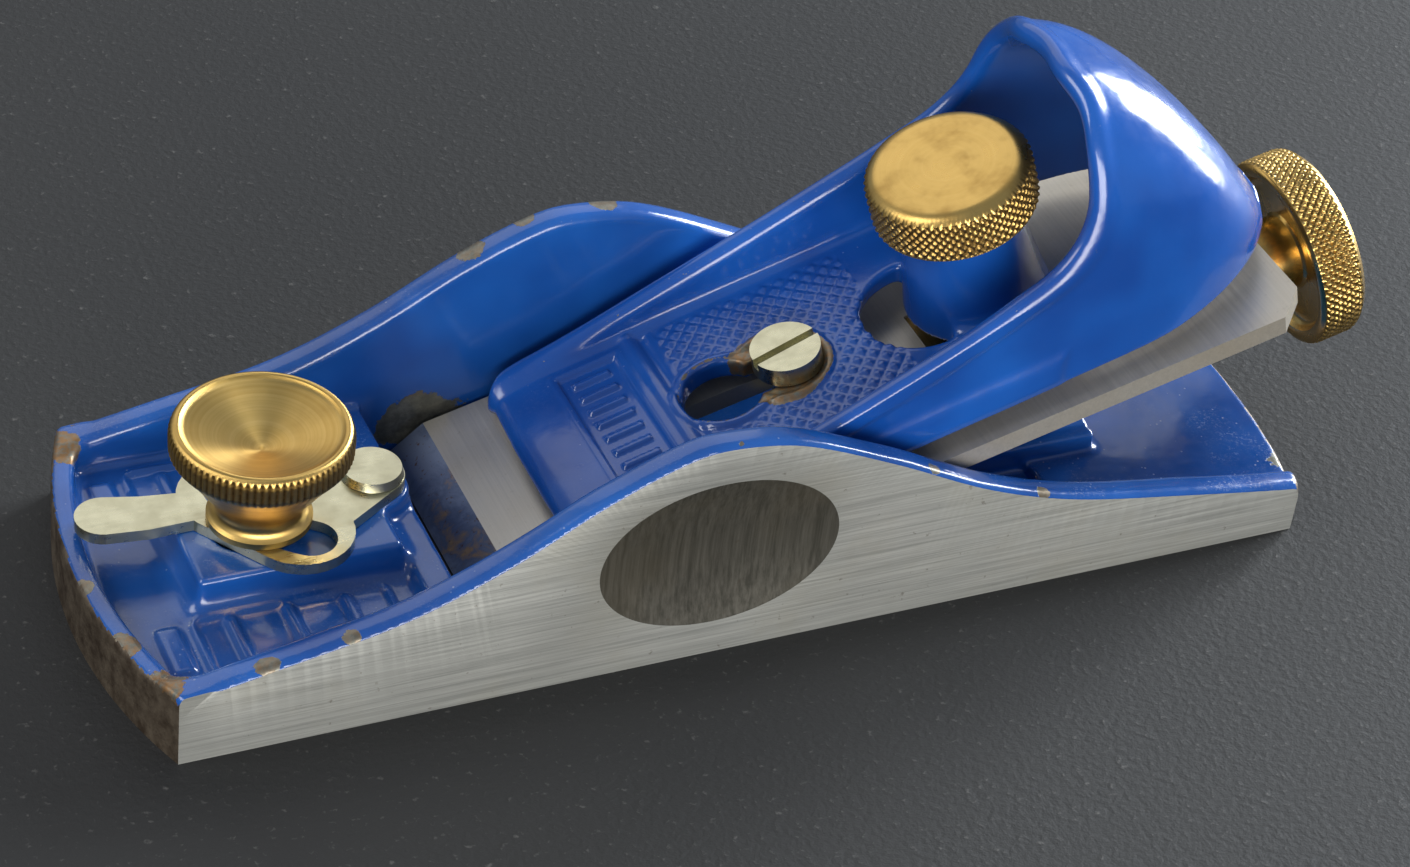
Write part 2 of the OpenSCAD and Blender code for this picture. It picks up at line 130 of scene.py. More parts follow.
def noise3(x, y, z, seed=0, scale=1.0):
    """Smooth value built from incommensurate waves: cheap, seeded, repeatable."""
    rng = np.random.RandomState(seed)
    out = 0
    for i in range(7):
        d = rng.normal(size=3)
        d = d / np.linalg.norm(d) * (0.7 + 0.9 * rng.rand()) / scale
        out = out + np.sin(d[0] * x + d[1] * y + d[2] * z + rng.rand() * 6.28)
    return out / 3.2


def surface_nets(F, lo, h):
    nx, ny, nz = F.shape
    S = F < 0
    c = np.zeros((nx - 1, ny - 1, nz - 1), dtype=np.int8)
    for i in (0, 1):
        for j in (0, 1):
            for k in (0, 1):
                c += S[i:nx - 1 + i, j:ny - 1 + j, k:nz - 1 + k]
    act = (c > 0) & (c < 8)
    I = np.argwhere(act)
    acc = np.zeros((len(I), 3), dtype=np.float64)
    cnt = np.zeros(len(I))
    corners = [(i, j, k) for i in (0, 1) for j in (0, 1) for k in (0, 1)]
    val = {q: F[I[:, 0] + q[0], I[:, 1] + q[1], I[:, 2] + q[2]] for q in corners}
    for a in corners:
        for ax in range(3):
            if a[ax] == 1:
                continue
            b = list(a); b[ax] = 1; b = tuple(b)
            fa, fb = val[a], val[b]
            m = (fa < 0) != (fb < 0)
            t = np.where(m, fa / np.where(m, fa - fb, 1), 0)
            p = np.tile(np.array(a, dtype=np.float64), (len(I), 1))
            p[:, ax] = t
            acc[m] += p[m]
            cnt[m] += 1
    V = (I + acc / cnt[:, None]) * h + np.array(lo)
    idx = -np.ones(act.shape, dtype=np.int64)
    idx[act] = np.arange(len(I))
    quads = []
    for ax in range(3):
        o = [a for a in range(3) if a != ax]
        sl0 = [slice(None)] * 3; sl1 = [slice(None)] * 3
        sl0[ax] = slice(0, -1); sl1[ax] = slice(1, None)
        A, B = S[tuple(sl0)], S[tuple(sl1)]
        E = np.argwhere(A != B)
        ok = np.ones(len(E), bool)
        for a in o:
            ok &= (E[:, a] > 0) & (E[:, a] < F.shape[a] - 1)
        E = E[ok]
        inside = A[E[:, 0], E[:, 1], E[:, 2]]
        d1 = np.zeros(3, int); d1[o[0]] = 1
        d2 = np.zeros(3, int); d2[o[1]] = 1
        q = [idx[tuple((E - d1 - d2).T)], idx[tuple((E - d2).T)], idx[tuple(E.T)], idx[tuple((E - d1).T)]]
        Q = np.stack(q, 1)
        flip = inside if ax != 1 else ~inside
        Q[~flip] = Q[~flip][:, ::-1]
        quads.append(Q)
    return V, np.concatenate(quads)


def field_mesh(name, fn, lo, hi, h, project=True):
    """Mesh of fn < 0. fn takes arrays of x, y, z in mm and returns distances."""
    n = [int(math.ceil((b - a) / h)) + 1 for a, b in zip(lo, hi)]
    xs, ys, zs = [np.float32(lo[i]) + np.arange(n[i], dtype=np.float32) * np.float32(h) for i in range(3)]
    F = np.empty(n, dtype=np.float32)
    for a in range(0, n[0], 24):           # slabs keep the memory small
        X, Y, Z = np.meshgrid(xs[a:a + 24], ys, zs, indexing="ij")
        F[a:a + 24] = fn(X, Y, Z)
    V, Q = surface_nets(F, lo, h)
    if project:
        for _ in range(2):
            e = 0.05
            x, y, z = V.T
            f = fn(x, y, z)
            g = np.stack([fn(x + e, y, z) - f, fn(x, y + e, z) - f, fn(x, y, z + e) - f], 1) / e
            g2 = np.maximum((g ** 2).sum(1), 0.25)
            step = -(f / g2)[:, None] * g
            ln = np.linalg.norm(step, axis=1)
            step *= np.minimum(1, 0.35 * h / np.maximum(ln, 1e-9))[:, None]
            V = V + step
    return V, Q


def to_object(name, V, Q, smooth=True):
    me = bpy.data.meshes.new(name)
    V = np.asarray(V, dtype=np.float64) * MM
    me.vertices.add(len(V))
    me.vertices.foreach_set("co", V.astype(np.float32).ravel())
    Q = np.asarray(Q)
    k = Q.shape[1]
    me.loops.add(len(Q) * k)
    me.loops.foreach_set("vertex_index", Q.astype(np.int32).ravel())
    me.polygons.add(len(Q))
    me.polygons.foreach_set("loop_start", np.arange(0, len(Q) * k, k, dtype=np.int32))
    me.polygons.foreach_set("use_smooth", np.full(len(Q), smooth))
    me.update(calc_edges=True)
    me.validate()
    ob = bpy.data.objects.new(name, me)
    bpy.context.scene.collection.objects.link(ob)
    return ob


def plane_cut(ob, planes):
    """Grind the mesh with true planes: each (point, normal, material) removes the outer side and closes it flat."""
    bm = bmesh.new()
    bm.from_mesh(ob.data)
    for co, no, mat in planes:
        co = Vector(co) * MM
        no = Vector(no)
        geom = bm.verts[:] + bm.edges[:] + bm.faces[:]
        r = bmesh.ops.bisect_plane(bm, geom=geom, dist=1e-8, plane_co=co, plane_no=no, clear_outer=True)
        edges = [e for e in r["geom_cut"] if isinstance(e, bmesh.types.BMEdge) and len(e.link_faces) < 2]
        edges = list({e for e in edges} | {e for e in bm.edges if len(e.link_faces) == 1
                      and abs((e.verts[0].co - co).dot(no)) < 1e-7 and abs((e.verts[1].co - co).dot(no)) < 1e-7})
        f = bmesh.ops.triangle_fill(bm, use_beauty=True, use_dissolve=False, edges=edges, normal=no)
        for face in [g for g in f["geom"] if isinstance(g, bmesh.types.BMFace)]:
            face.material_index = mat
            face.smooth = False
            if face.normal.dot(no) < 0:
                face.normal_flip()
    bm.to_mesh(ob.data)
    bm.free()
    ob.data.update()


def drop_islands(ob, least=40):
    """Remove specks that a field can leave."""
    bm = bmesh.new(); bm.from_mesh(ob.data)
    seen = set(); doomed = []
    for v in bm.verts:
        if v.index in seen:
            continue
        stack = [v]; isle = []
        seen.add(v.index)
        while stack:
            u = stack.pop(); isle.append(u)
            for e in u.link_edges:
                w = e.other_vert(u)
                if w.index not in seen:
                    seen.add(w.index); stack.append(w)
        if len(isle) < least:
            doomed += isle
    if doomed:
        bmesh.ops.delete(bm, geom=doomed, context="VERTS")
        bm.to_mesh(ob.data)
    bm.free()


def set_attr(ob, name, values):
    a = ob.data.attributes.new(name, "FLOAT", "POINT")
    a.data.foreach_set("value", np.asarray(values, dtype=np.float32))


def coords(ob):
    V = np.empty(len(ob.data.vertices) * 3, dtype=np.float32)
    ob.data.vertices.foreach_get("co", V)
    return V.reshape(-1, 3).astype(np.float64) / MM


def sharp_by_angle(ob, deg):
    ob.data.set_sharp_from_angle(angle=math.radians(deg))


# ------------------------------------------------------------------ camera
cam_data = bpy.data.cameras.new("camera")
cam_data.sensor_fit = "HORIZONTAL"
cam_data.sensor_width = 36.0
cam_data.lens = 91.81
cam_data.clip_start = 0.02
cam_data.clip_end = 20
cam = bpy.data.objects.new("camera", cam_data)
bpy.context.scene.collection.objects.link(cam)
R = Matrix(((0.9113239, 0.1708110, -0.3745829),
            (-0.3981922, 0.5967867, -0.6966266),
            (0.1045546, 0.7840084, 0.6118816)))
cam.matrix_world = Matrix.Translation((-0.163926, -0.308396, 0.282834)) @ R.to_4x4()
bpy.context.scene.camera = cam


# ------------------------------------------------------------------ material tools
class NT:
    def __init__(self, name):
        self.mat = bpy.data.materials.new(name)
        self.mat.use_nodes = True
        self.t = self.mat.node_tree
        self.t.nodes.clear()
        self.out = self.t.nodes.new("ShaderNodeOutputMaterial")
        self.b = self.t.nodes.new("ShaderNodeBsdfPrincipled")
        self.t.links.new(self.b.outputs[0], self.out.inputs[0])
        self.tc = self.t.nodes.new("ShaderNodeTexCoord")

    def link(self, a, b):
        self.t.links.new(a, b)

    def new(self, kind, **kw):
        n = self.t.nodes.new(kind)
        for k, v in kw.items():
            setattr(n, k, v)
        return n

    def coord(self, scale=(1, 1, 1), rot=(0, 0, 0), loc=(0, 0, 0)):
        m = self.new("ShaderNodeMapping")
        m.inputs["Scale"].default_value = scale
        m.inputs["Rotation"].default_value = rot
        m.inputs["Location"].default_value = loc
        self.link(self.tc.outputs["Object"], m.inputs["Vector"])
        return m.outputs[0]

    def noise(self, vec, scale, detail=3.0, rough=0.55, dist=0.0):
        n = self.new("ShaderNodeTexNoise")
        n.inputs["Scale"].default_value = scale
        n.inputs["Detail"].default_value = detail
        n.inputs["Roughness"].default_value = rough
        n.inputs["Distortion"].default_value = dist
        self.link(vec, n.inputs["Vector"])
        return n.outputs["Fac"]

    def ramp(self, fac, stops, interp="LINEAR"):
        r = self.new("ShaderNodeValToRGB")
        r.color_ramp.interpolation = interp
        e = r.color_ramp.elements
        while len(e) < len(stops):
            e.new(0.5)
        for el, (p, c) in zip(e, stops):
            el.position = p
            el.color = c if len(c) == 4 else (*c, 1)
        self.link(fac, r.inputs[0])
        return r.outputs[0]

    def maprange(self, v, a, b, c, d, smooth=False):
        m = self.new("ShaderNodeMapRange")
        if smooth:
            m.interpolation_type = "SMOOTHSTEP"
        m.inputs["From Min"].default_value = a
        m.inputs["From Max"].default_value = b
        m.inputs["To Min"].default_value = c
        m.inputs["To Max"].default_value = d
        self.link(v, m.inputs["Value"])
        return m.outputs[0]

    def math(self, op, a, b=None, clamp=False):
        m = self.new("ShaderNodeMath", operation=op)
        m.use_clamp = clamp
        for i, v in enumerate((a, b)):
            if v is None:
                continue
            if isinstance(v, (int, float)):
                m.inputs[i].default_value = v
            else:
                self.link(v, m.inputs[i])
        return m.outputs[0]

    def mix(self, fac, a, b):
        m = self.new("ShaderNodeMix", data_type="RGBA")
        for sock, v in ((m.inputs["Factor"], fac), (m.inputs[6], a), (m.inputs[7], b)):
            if isinstance(v, (int, float)):
                sock.default_value = v
            elif isinstance(v, tuple):
                sock.default_value = v if len(v) == 4 else (*v, 1)
            else:
                self.link(v, sock)
        return m.outputs[2]

    def attr(self, name):
        a = self.new("ShaderNodeAttribute")
        a.attribute_name = name
        return a.outputs["Fac"]

    def sep(self):
        s = self.new("ShaderNodeSeparateXYZ")
        self.link(self.tc.outputs["Object"], s.inputs[0])
        return s.outputs

    def bump(self, height, strength=0.3, dist=0.0001, normal=None):
        b = self.new("ShaderNodeBump")
        b.inputs["Strength"].default_value = strength
        b.inputs["Distance"].default_value = dist
        self.link(height, b.inputs["Height"])
        if normal is not None:
            self.link(normal, b.inputs["Normal"])
        return b.outputs[0]


def lin(r, g, b):
    f = lambda c: (c / 255 / 12.92) if c / 255 <= 0.04045 else ((c / 255 + 0.055) / 1.055) ** 2.4
    return (f(r), f(g), f(b))


def enamel(name, base, dark, dust_amount=0.5, cap=False):
    m = NT(name)
    p = m.coord()
    big = m.noise(p, 60, 2)
    mid = m.noise(p, 420, 3)
    fine = m.noise(p, 5200, 2, 0.7)
    col = m.mix(m.maprange(big, 0.35, 0.65, 0, 1), dark, base)
    # specks of dust, more where a surface faces up
    geo = m.new("ShaderNodeNewGeometry")
    sepn = m.new("ShaderNodeSeparateXYZ")
    m.link(geo.outputs["Normal"], sepn.inputs[0])
    up = m.maprange(sepn.outputs[2], 0.35, 0.95, 0, 1, True)
    vor = m.new("ShaderNodeTexVoronoi")
    vor.inputs["Scale"].default_value = 900
    vor.inputs["Randomness"].default_value = 1.0
    m.link(p, vor.inputs["Vector"])
    speck = m.maprange(vor.outputs["Distance"], 0.05, 0.16, 1, 0, True)
    patch = m.maprange(m.noise(p, 95, 3), 0.44, 0.68, 0, 1, True)
    film = m.math("MULTIPLY", m.maprange(m.noise(p, 2600, 3, 0.75), 0.50, 0.74, 0, 1), patch)
    dust = m.math("MULTIPLY", m.math("MAXIMUM", m.math("MULTIPLY", speck, m.maprange(m.noise(p, 260, 2), 0.5, 0.6, 0.05, 0.8)), m.math("MULTIPLY", film, 0.32)), up)
    dust = m.math("MULTIPLY", dust, m.math("MULTIPLY", m.attr("dust"), dust_amount))
    col = m.mix(dust, col, lin(168, 176, 190))
    # bare metal where the enamel has chipped or never took
    chip = m.math("ADD", m.attr("bare"), m.maprange(m.noise(p, 900, 4, 0.7), 0.3, 0.7, -0.22, 0.22))
    chip = m.maprange(chip, 0.47, 0.53, 0, 1, True)
    metal = m.mix(m.maprange(m.noise(p, 700, 4, 0.7), 0.4, 0.62, 0, 1), lin(104, 104, 94), lin(132, 130, 118))
    rust = m.math("MULTIPLY", m.attr("rust"), m.maprange(m.noise(p, 1300, 3), 0.35, 0.6, 0, 1))
    metal = m.mix(rust, metal, lin(142, 108, 70))
    col = m.mix(chip, col, metal)
    m.link(col, m.b.inputs["Base Color"])
    m.link(m.math("MULTIPLY", chip, 0.75), m.b.inputs["Metallic"])
    rough = m.maprange(mid, 0.3, 0.7, 0.16, 0.27)
    rough = m.math("ADD", rough, m.math("MULTIPLY", dust, 0.5))
    rough = m.math("ADD", rough, m.math("MULTIPLY", chip, 0.22), clamp=True)
    m.link(rough, m.b.inputs["Roughness"])
    m.b.inputs["IOR"].default_value = 1.52
    m.b.inputs["Coat Weight"].default_value = 0.35
    m.b.inputs["Coat Roughness"].default_value = 0.08
    # orange peel, casting texture through the paint, and the chip's step
    peel = m.bump(m.noise(p, 330, 2, 0.5), 0.30, 0.00025)
    grain = m.bump(fine, 0.10, 0.00004, peel)
    step = m.bump(m.math("MULTIPLY", chip, -1.0), 0.5, 0.00006, grain)
    m.link(step, m.b.inputs["Normal"])
    return m.mat


def ground(name, c1, c2, direction="x", line=2600.0, rough=(0.30, 0.46), metallic=0.92, stain=0.35, depth=0.00002, tint=None):
    """Ground or brushed metal: long fine scratches along one axis of the object."""
    m = NT(name)
    s = {"x": (0.012, 1, 1), "y": (1, 0.012, 1), "z": (1, 1, 0.012)}[direction]
    v = m.coord(scale=s)
    l1 = m.noise(v, line, 4, 0.7)
    l2 = m.noise(v, line * 0.28, 3, 0.6)
    l3 = m.noise(v, line * 2.8, 2, 0.6)
    lines = m.math("ADD", m.math("MULTIPLY", l1, 0.78), m.math("MULTIPLY", l2, 0.22))
    p = m.coord()
    cloud = m.noise(p, 70, 4, 0.6)
    spots = m.noise(p, 900, 3, 0.6)
    col = m.mix(m.maprange(lines, 0.38, 0.62, 0, 1), c1, c2)
    col = m.mix(m.math("MULTIPLY", m.maprange(cloud, 0.45, 0.72, 0, 1, True), stain), col, tint or lin(112, 104, 84))
    dark = m.math("MULTIPLY", m.maprange(spots, 0.66, 0.76, 0, 1, True), 0.5)
    col = m.mix(dark, col, lin(86, 74, 60))
    m.link(col, m.b.inputs["Base Color"])
    m.b.inputs["Metallic"].default_value = metallic
    r = m.maprange(lines, 0.35, 0.65, rough[0], rough[1])
    r = m.math("ADD", r, m.maprange(cloud, 0.35, 0.7, -0.04, 0.08))
    m.link(r, m.b.inputs["Roughness"])
    m.b.inputs["Anisotropic"].default_value = 0.4
    n = m.bump(l1, 0.5, depth)
    n = m.bump(l3, 0.3, depth * 0.6, n)
    m.link(n, m.b.inputs["Normal"])
    return m.mat


def rough_cast(name):
    m = NT(name)
    p = m.coord()
    a = m.noise(p, 380, 5, 0.65)
    b = m.noise(p, 1500, 4, 0.7)
    col = m.mix(m.maprange(a, 0.35, 0.65, 0, 1), lin(70, 58, 46), lin(116, 104, 88))
    col = m.mix(m.maprange(b, 0.55, 0.7, 0, 0.6), col, lin(44, 38, 34))
    m.link(col, m.b.inputs["Base Color"])
    m.b.inputs["Metallic"].default_value = 0.7
    m.link(m.maprange(b, 0.3, 0.7, 0.42, 0.66), m.b.inputs["Roughness"])
    n = m.bump(a, 0.4, 0.0001)
    m.link(m.bump(b, 0.4, 0.00005, n), m.b.inputs["Normal"])
    return m.mat


def brass(name, axis=(0, 0, 1), origin=(0, 0, 0), rings=2600, contrast=0.5, darkness=0.35, rough=(0.20, 0.34), sheen=0.0):
    """Turned brass: concentric tool rings about the axis, with tarnish in the low places."""
    m = NT(name)
    ax = Vector(axis).normalized()
    rot = ax.to_track_quat("Z", "Y").inverted().to_euler()
    sub = m.new("ShaderNodeVectorMath", operation="SUBTRACT")
    m.link(m.tc.outputs["Object"], sub.inputs[0])
    sub.inputs[1].default_value = [c * MM for c in origin]
    rm = m.new("ShaderNodeVectorRotate", rotation_type="EULER_XYZ")
    rm.inputs["Rotation"].default_value = rot
    m.link(sub.outputs[0], rm.inputs["Vector"])
    s = m.new("ShaderNodeSeparateXYZ")
    m.link(rm.outputs[0], s.inputs[0])
    r2 = m.math("SQRT", m.math("ADD", m.math("MULTIPLY", s.outputs[0], s.outputs[0]), m.math("MULTIPLY", s.outputs[1], s.outputs[1])))
    comb = m.new("ShaderNodeCombineXYZ")
    m.link(r2, comb.inputs[0])
    m.link(s.outputs[2], comb.inputs[1])
    ring = m.noise(comb.outputs[0], rings, 3, 0.7)
    ring2 = m.noise(comb.outputs[0], rings * 0.25, 2, 0.6)
    p = m.coord()
    cloud = m.noise(p, 130, 4, 0.6)
    fine = m.noise(p, 1800, 3, 0.6)
    a, b, c = lin(196, 158, 84), lin(222, 188, 116), lin(150, 112, 54)
    col = m.mix(m.maprange(m.math("ADD", m.math("MULTIPLY", ring, 0.6), m.math("MULTIPLY", ring2, 0.4)), 0.36, 0.64, 0.5 - contrast, 0.5 + contrast), a, b)
    col = m.mix(m.math("MULTIPLY", m.maprange(cloud, 0.42, 0.7, 0, 1, True), darkness), col, c)
    low = m.attr("low")
    col = m.mix(m.math("MULTIPLY", low, m.maprange(fine, 0.3, 0.6, 0.55, 0.95)), col, lin(92, 70, 40))
    m.link(col, m.b.inputs["Base Color"])
    m.b.inputs["Metallic"].default_value = 1.0
    r = m.maprange(cloud, 0.35, 0.65, rough[0], rough[1])
    r = m.math("ADD", r, m.math("MULTIPLY", low, 0.2))
    m.link(r, m.b.inputs["Roughness"])
    m.b.inputs["Anisotropic"].default_value = 0.35 + sheen
    if sheen:
        tan = m.new("ShaderNodeTangent")
        tan.direction_type = "RADIAL"
        tan.axis = "Z"
        m.link(tan.outputs[0], m.b.inputs["Tangent"])
    n = m.bump(ring, 0.3, 0.000006)
    m.link(m.bump(fine, 0.12, 0.00001, n), m.b.inputs["Normal"])
    return m.mat


def nickel(name):
    m = NT(name)
    p = m.coord()
    a = m.noise(p, 260, 4, 0.6)
    b = m.noise(p, 2400, 3, 0.7)
    sc = m.noise(m.coord(scale=(0.1, 1, 1), rot=(0, 0, 0.6)), 1800, 3, 0.7)
    col = m.mix(m.maprange(a, 0.36, 0.66, 0, 1), lin(200, 197, 170), lin(186, 182, 154))
    col = m.mix(m.maprange(b, 0.66, 0.80, 0, 0.4), col, lin(140, 126, 96))
    m.link(col, m.b.inputs["Base Color"])
    m.b.inputs["Metallic"].default_value = 1.0
    m.link(m.math("ADD", m.maprange(a, 0.3, 0.7, 0.20, 0.34), m.maprange(sc, 0.4, 0.7, 0, 0.10)), m.b.inputs["Roughness"])
    n = m.bump(sc, 0.25, 0.00001)
    m.link(m.bump(b, 0.2, 0.00001, n), m.b.inputs["Normal"])
    return m.mat


def cutter_steel(name):
    """The iron's ground top, fine cross-grinding, and its blued, stained bevel near the edge."""
    m = NT(name)
    # across the bed: lines run along Y
    v = m.coord(scale=(1, 0.010, 1))
    l1 = m.noise(v, 3000, 4, 0.7)
    l2 = m.noise(v, 700, 3, 0.6)
    p = m.coord()
    cloud = m.noise(p, 60, 3, 0.55)
    col = m.mix(m.maprange(l1, 0.34, 0.66, 0, 1), lin(180, 175, 164), lin(194, 188, 176))
    # warm tan clouds over the ground top: a painted tan reflection
    col = m.mix(m.math("MULTIPLY", m.maprange(cloud, 0.4, 0.7, 0, 1), 0.35), col, lin(176, 158, 126))
    # bevel: ahead of its rear line the object's normal leans forward, so x tells
    s = m.sep()
    geo = m.new("ShaderNodeNewGeometry")
    sn = m.new("ShaderNodeSeparateXYZ")
    m.link(geo.outputs["True Normal"], sn.inputs[0])
    bev = m.maprange(sn.outputs[0], -0.5, -0.4, 1, 0)
    heat = m.noise(p, 240, 4, 0.65, 0.4)
    blued = m.ramp(m.math("ADD", heat, m.math("MULTIPLY", s[1], -9.0)),
                   [(0.36, lin(116, 128, 152)), (0.50, lin(96, 108, 134)), (0.62, lin(156, 130, 102)), (0.75, lin(196, 158, 120))])
    col = m.mix(bev, col, blued)
    spot = m.math("MULTIPLY", m.maprange(m.noise(p, 1500, 3), 0.62, 0.72, 0, 1), m.math("ADD", m.math("MULTIPLY", bev, 0.7), 0.12))
    col = m.mix(spot, col, lin(96, 62, 40))
    m.link(col, m.b.inputs["Base Color"])
    m.b.inputs["Metallic"].default_value = 0.62
    r = m.math("ADD", m.maprange(l1, 0.35, 0.65, 0.38, 0.46), m.math("MULTIPLY", bev, 0.04))
    m.link(r, m.b.inputs["Roughness"])
    m.b.inputs["Anisotropic"].default_value = 0.45
    n = m.bump(l1, 0.3, 0.000006)
    m.link(m.bump(l2, 0.15, 0.00001, n), m.b.inputs["Normal"])
    return m.mat


M_BLUE = enamel("enamel_body", lin(26, 84, 160), lin(19, 65, 134), 0.9)
M_CAP = enamel("enamel_cap", lin(24, 86, 170), lin(18, 67, 144), 0.5, cap=True)
M_SIDE = ground("ground_cheek", lin(146, 147, 141), lin(175, 175, 168), "x", 3400, (0.42, 0.56), 0.45, 0.25, tint=lin(146, 140, 120))
M_SOLE = ground("ground_sole", lin(112, 112, 108), lin(152, 151, 146), "x", 2600, (0.26, 0.42), 0.9, 0.2)
M_DIMPLE = ground("milled_hollow", lin(76, 74, 66), lin(100, 97, 88), "z", 2200, (0.40, 0.52), 0.6, 0.3, tint=lin(96, 88, 70))
M_RAW = rough_cast("raw_casting")
M_STEEL = ground("turned_steel", lin(128, 127, 122), lin(164, 162, 156), "y", 2400, (0.25, 0.38), 0.95, 0.2)
M_PLATE = ground("toe_plate_steel", lin(110, 110, 106), lin(150, 149, 144), "x", 2600, (0.28, 0.42), 0.9, 0.25)
M_NICKEL = nickel("nickel_plate")
M_CUT = cutter_steel("cutter_steel")
M_KNOB = brass("brass_knob", (0, 0, 1), (KNOB_X, 0, 0), 2600, contrast=0.3, darkness=0.2, rough=(0.32, 0.44), sheen=0.45)
AX_T = (-math.sin(TILT), 0, math.cos(TILT))
AX_B = (math.cos(BED), 0, math.sin(BED))
M_THUMB = brass("brass_thumb_wheel", AX_T, THUMB, 1900, contrast=0.12, darkness=0.6, rough=(0.26, 0.4))
M_WHEEL = brass("brass_depth_wheel", AX_B, (WHEEL_X, 0, WHEEL_Z), 2300, contrast=0.2, darkness=0.4)
M_SLIDE = brass("brass_slide", AX_B, (WHEEL_X, 0, WHEEL_Z), 2000, darkness=0.6)


# ------------------------------------------------------------------ body casting
RA = (15.3 ** 2 + 1.6 ** 2) / 3.2
RC = (10.5 ** 2 + 1.6 ** 2) / 3.2


def toe_d(x, y):
    return np.sqrt(np.minimum(x - TOE_C, 0) ** 2 + y ** 2) - TOE_R


def heel_d(x, y):
    return np.sqrt(np.maximum(x - HEEL_C, 0) ** 2 + y ** 2) - HEEL_R


def dimple_d(x, y, z):
    ay = np.abs(y)
    return np.sqrt((np.sqrt((x + 7.5) ** 2 + (ay - (W2 - 1.6 + RA)) ** 2) - (RA - RC)) ** 2 + (z - 15.4) ** 2) - RC


def disc(x, y, cx, cy, r):
    return np.sqrt((x - cx) ** 2 + (y - cy) ** 2) - r


def body_field(x, y, z):
    ay = np.abs(y)
    zc = curve(CHEEK_PTS, np.clip(x, -78, 78))
    top = (z - zc) * 0.88
    cheek = smax(smax(top, ay - (W2 + 0.25), 1.7), 21.5 - ay, 1.5)
    # floors
    deck = smax(z - 6.0, x + 36.5, 1.2)
    bedz = (z - (cut_under(x) - 0.06)) * 0.963
    back = np.maximum(z - np.where(x > 44, 5.2, np.minimum(4.2, cut_under(x) - 0.06)), -29.4 - x)
    rear = smax(z - 5.2, 43 - x, 1.0)
    solid = np.minimum(np.minimum(deck, back), rear)
    # rim round the toe well
    td = toe_d(x, y)
    rim = smax(smax(z - 9.2, -(td + 2.8), 1.0), x + 60, 1.0)
    solid = smin(solid, rim, 1.6)
    wall = smax(smax(z - 8.2, -39.5 - x, 1.1), x + 35.2, 1.1)
    solid = smin(solid, wall, 1.6)
    flare = np.maximum(9.0 - z, 0) * 0.28
    boss = box(x, y, z, (-65, -7.5, -1), (-40, 7.5, 10.28), 0.8) - flare
    solid = smin(solid, np.maximum(boss, z - 10.28), 2.6)
    post = smax(disc(x, y, PIVOT[0], PIVOT[1], 4.6), z - 10.28, 0.8)
    solid = smin(solid, post, 1.4)
    # plain ribs standing in the well either side of the boss
    for cx, hw in ((-69.6, 1.3), (-62.0, 0.6), (-55.0, 0.6), (-48.0, 0.6)):
        rib = box(x, ay, z, (cx - hw, 9.8, 4), (cx + hw, 17.6, 6.55), 0.45)
        solid = smin(solid, rib, 0.8)
    bead = np.abs(box(x, ay, z, (-66.5, 9.0, 3), (-43.0, 19.0, 9), 1.5))
    solid = smin(solid, smax(bead - 0.35, z - 6.45, 0.5), 0.6)
    # bed pad behind the mouth, and the two ledges
    pad = smax(smax(bedz, -29.4 - x, 0.8), x + 12, 1.0)
    solid = smin(solid, pad, 1.2)
    ledge = smax(smax(smax(bedz, -9 - x, 0.8), x - 12, 1.2), 17.5 - ay, 1.0)
    solid = smin(solid, ledge, 1.2)
    # rear post of the depth screw, ribbed to the floor
    rpost = smax(box(x, y, z, (POST_X0, -7, -1), (POST_X1, 7, 40), 1.0), bedz, 0.6)
    solid = smin(solid, rpost, 1.6)
    plateau = box(x, ay, z, (33.4, -9, -1), (53.1, 9.2, 8.0), 0.9)
    plateau = smax(plateau, -box(x, ay, z, (25, -9, 4.2), (43.4, 6.2, 12), 0.3), 0.6)
    solid = smin(solid, plateau, 1.3)
    spost = smax(disc(x, y, 15.6, 0, 5.5), (z - (cut_under(x) - 0.1)) * 0.963, 0.6)
    solid = smin(solid, spost, 1.6)
    solid = smin(solid, cheek, 1.9)
    # ends
    solid = smax(solid, td, 0.9)
    solid = smax(solid, heel_d(x, y), 0.9)
    solid = np.maximum(solid, -0.8 - z)
    # openings
    throat = np.maximum(np.maximum(-35.3 - x, x + 29.4), ay - 21.1)
    solid = smax(solid, -throat, 0.5)
    recess = box(x, y, z, (-68.8, -18.15, -2), (-33.0, 18.15, 4.1))
    solid = np.maximum(solid, -recess)
    cx = np.clip(x, -57.6, -54.2)
    slot = np.sqrt((x - cx) ** 2 + y ** 2) - 3.3
    solid = smax(solid, -slot, 0.4)
    a = (x - WHEEL_X) * AX_B[0] + (z - WHEEL_Z) * AX_B[2]
    rr = np.sqrt((x - WHEEL_X - a * AX_B[0]) ** 2 + y ** 2 + (z - WHEEL_Z - a * AX_B[2]) ** 2)
    solid = smax(solid, -np.maximum(rr - 3.15, 43 - x), 0.4)
    # screw hole
    hx = x - 14.18 + (z - cut_under(14.18)) * TA
    solid = np.maximum(solid, -(np.sqrt((hx * 0.963) ** 2 + y ** 2) - 2.56))
    solid = np.maximum(solid, -dimple_d(x, y, z))
    # the faint unevenness of a sand casting, kept off the ground faces
    lump = 0.035 * noise3(x, y, z, 3, 3.2) + 0.02 * noise3(x, y, z, 8, 1.1)
    off = np.clip((np.abs(np.abs(y) - W2) - 0.5) / 0.6, 0, 1) * np.clip((z - 0.5) / 0.8, 0, 1)
    return solid + np.maximum(lump, -0.05) * off + 0.05 * off


